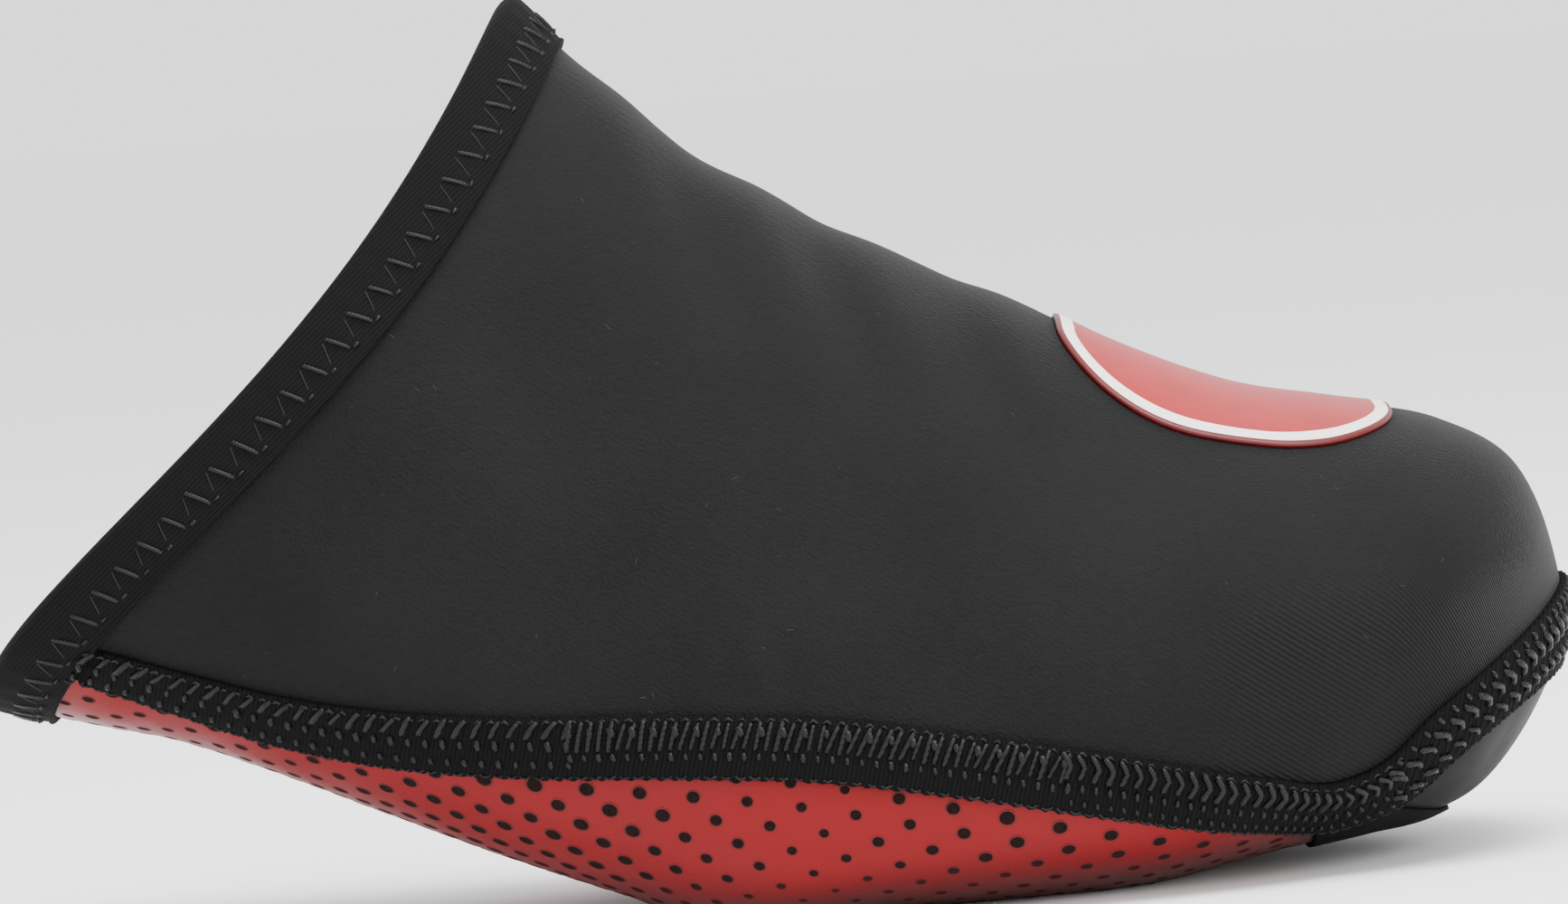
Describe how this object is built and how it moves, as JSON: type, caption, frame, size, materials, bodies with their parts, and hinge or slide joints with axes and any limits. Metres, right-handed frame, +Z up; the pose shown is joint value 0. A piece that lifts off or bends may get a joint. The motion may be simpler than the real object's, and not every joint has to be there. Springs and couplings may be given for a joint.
{
  "type": "cycling toe cover",
  "caption": "Stretch fabric toe cover that pulls over the front of a cycling shoe, with a perforated red sole, a toe guard, flat seams and a bound collar.",
  "frame": {"origin": "on the floor under the middle of the cover's box, with the cover standing empty on its sole", "axes": "+X towards the toe, +Y to the wearer's left, +Z up"},
  "size_m": [0.1802, 0.0922, 0.105],
  "materials": {
    "upper_fabric": "matte",
    "sole_fabric": "satin",
    "guard_fabric": "satin",
    "seam_thread": "matte",
    "binding_tape": "matte",
    "patch_film": "satin"
  },
  "bodies": {
    "root": {"upper": "upper_fabric", "sole": "sole_fabric", "toe_guard": "guard_fabric", "side_seam": "seam_thread", "toe_fold": "binding_tape", "collar_binding": "binding_tape", "toe_patch": "patch_film"}
  },
  "joints": []
}
